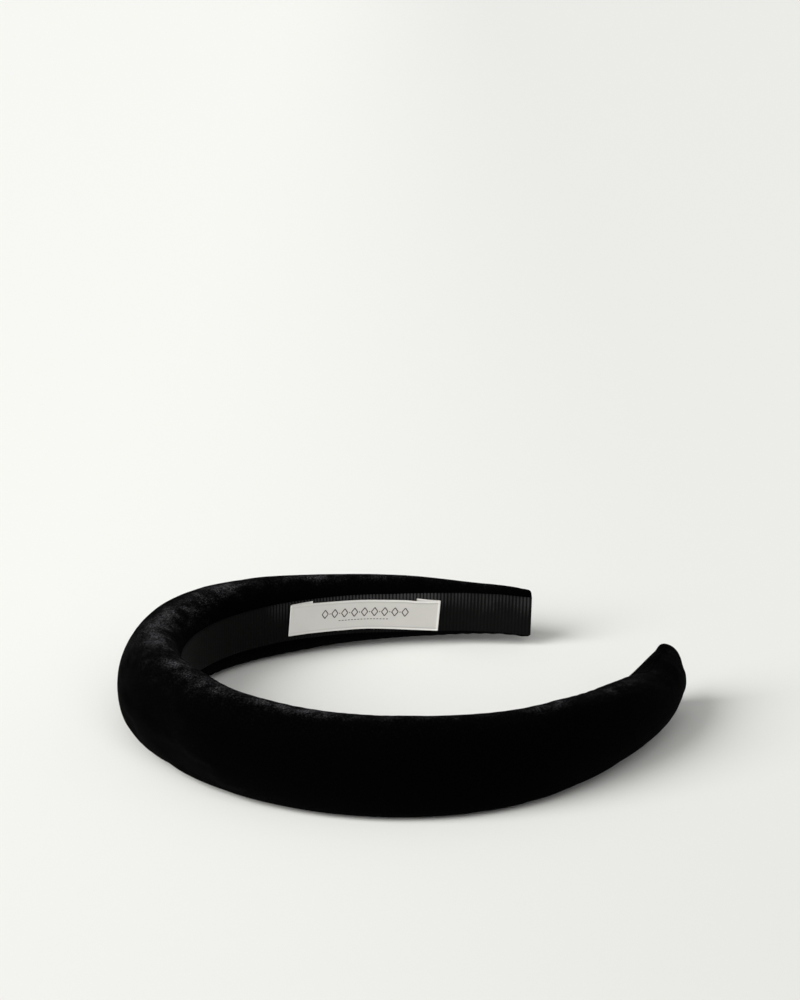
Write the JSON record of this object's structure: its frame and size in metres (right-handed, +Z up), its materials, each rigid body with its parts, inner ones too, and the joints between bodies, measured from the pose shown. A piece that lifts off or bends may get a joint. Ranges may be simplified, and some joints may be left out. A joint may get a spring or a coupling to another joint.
{
  "type": "padded headband",
  "caption": "Open C-shaped padded headband: a springy inner strip under foam and a velvet cover, lined with ribbed ribbon and carrying a small woven label.",
  "frame": {"origin": "middle of the bounding box's base: the band lies on its side and touches the surface at the crown and under both arms", "axes": "+Z up, across the width of the band; +X from the crown towards the open tips; Y across the head, the label on the arm at +Y"},
  "size_m": [0.156, 0.1576, 0.0298],
  "materials": {
    "core_plastic": "moulded black plastic, satin",
    "foam": "open-cell charcoal foam",
    "velvet": "black crushed velvet, soft sheen at grazing angles",
    "grosgrain": "black grosgrain, fine ribs across the width",
    "label_satin": "cream woven satin"
  },
  "bodies": {
    "root": {"core_band": "core_plastic", "foam_pad": "foam", "velvet_cover": "velvet", "lining_ribbon": "grosgrain", "woven_label": "label_satin"}
  },
  "joints": []
}
